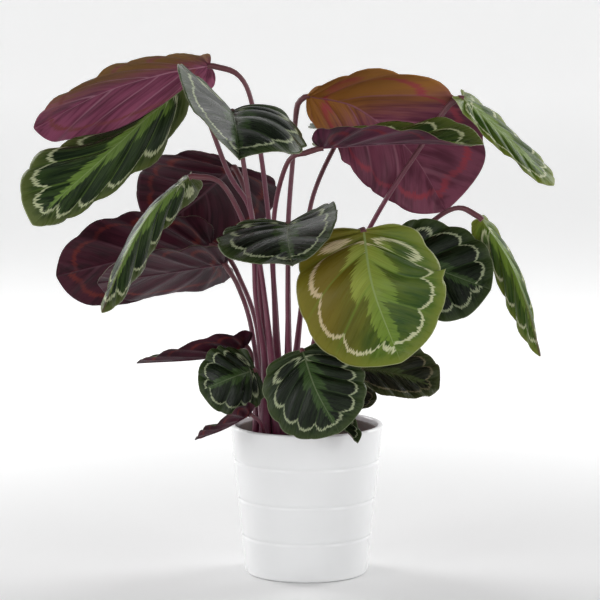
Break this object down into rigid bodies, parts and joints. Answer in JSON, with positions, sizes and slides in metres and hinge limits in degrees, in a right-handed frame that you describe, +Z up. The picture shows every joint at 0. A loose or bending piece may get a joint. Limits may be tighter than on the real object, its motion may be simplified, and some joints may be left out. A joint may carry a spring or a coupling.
{
  "type": "potted calathea",
  "caption": "Potted calathea: arching purple stalks carry broad patterned leaves, dark green above and purple below, from a white glazed pot.",
  "frame": {"origin": "middle of the pot's flat underside", "axes": "+X to the right seen from the front, +Y to the back, +Z up along the pot's axis"},
  "size_m": [0.5736, 0.425, 0.571],
  "materials": {
    "pot_glaze": "gloss white glaze on earthenware",
    "grower_plastic": "matt dark brown",
    "soil": "loose dark potting soil",
    "leaf": "waxy leaf, patterned green above and purple below",
    "stalk": "satin purple-red stalk"
  },
  "bodies": {
    "root": {"outer_pot": "pot_glaze", "grower_pot": "grower_plastic", "potting_soil": "soil", "leaf_upper_left": "leaf", "leaf_left_drooping": "leaf", "leaf_top_centre": "leaf", "leaf_upper_right": "leaf", "leaf_right_folded": "leaf", "leaf_far_right": "leaf", "leaf_right_hanging": "leaf", "leaf_back_hidden": "leaf", "leaf_centre": "leaf", "leaf_front_large": "leaf", "leaf_right_dark": "leaf", "leaf_back_left": "leaf", "leaf_left_dark": "leaf", "leaf_left_purple": "leaf", "leaf_left_narrow": "leaf", "leaf_low_left_narrow": "leaf", "leaf_low_left": "leaf", "leaf_low_left_rim": "leaf", "leaf_front_low": "leaf", "leaf_low_right": "leaf", "leaf_low_right_small": "leaf", "leaf_rim_right": "leaf", "stalk_upper_left": "stalk", "stalk_left_drooping": "stalk", "stalk_top_centre": "stalk", "stalk_upper_right": "stalk", "stalk_right_folded": "stalk", "stalk_far_right": "stalk", "stalk_right_hanging": "stalk", "stalk_back_hidden": "stalk", "stalk_centre": "stalk", "stalk_front_large": "stalk", "stalk_right_dark": "stalk", "stalk_back_left": "stalk", "stalk_left_dark": "stalk", "stalk_left_purple": "stalk", "stalk_left_narrow": "stalk", "stalk_low_left_narrow": "stalk", "stalk_low_left": "stalk", "stalk_low_left_rim": "stalk", "stalk_front_low": "stalk", "stalk_low_right": "stalk", "stalk_low_right_small": "stalk", "stalk_rim_right": "stalk"}
  },
  "joints": []
}
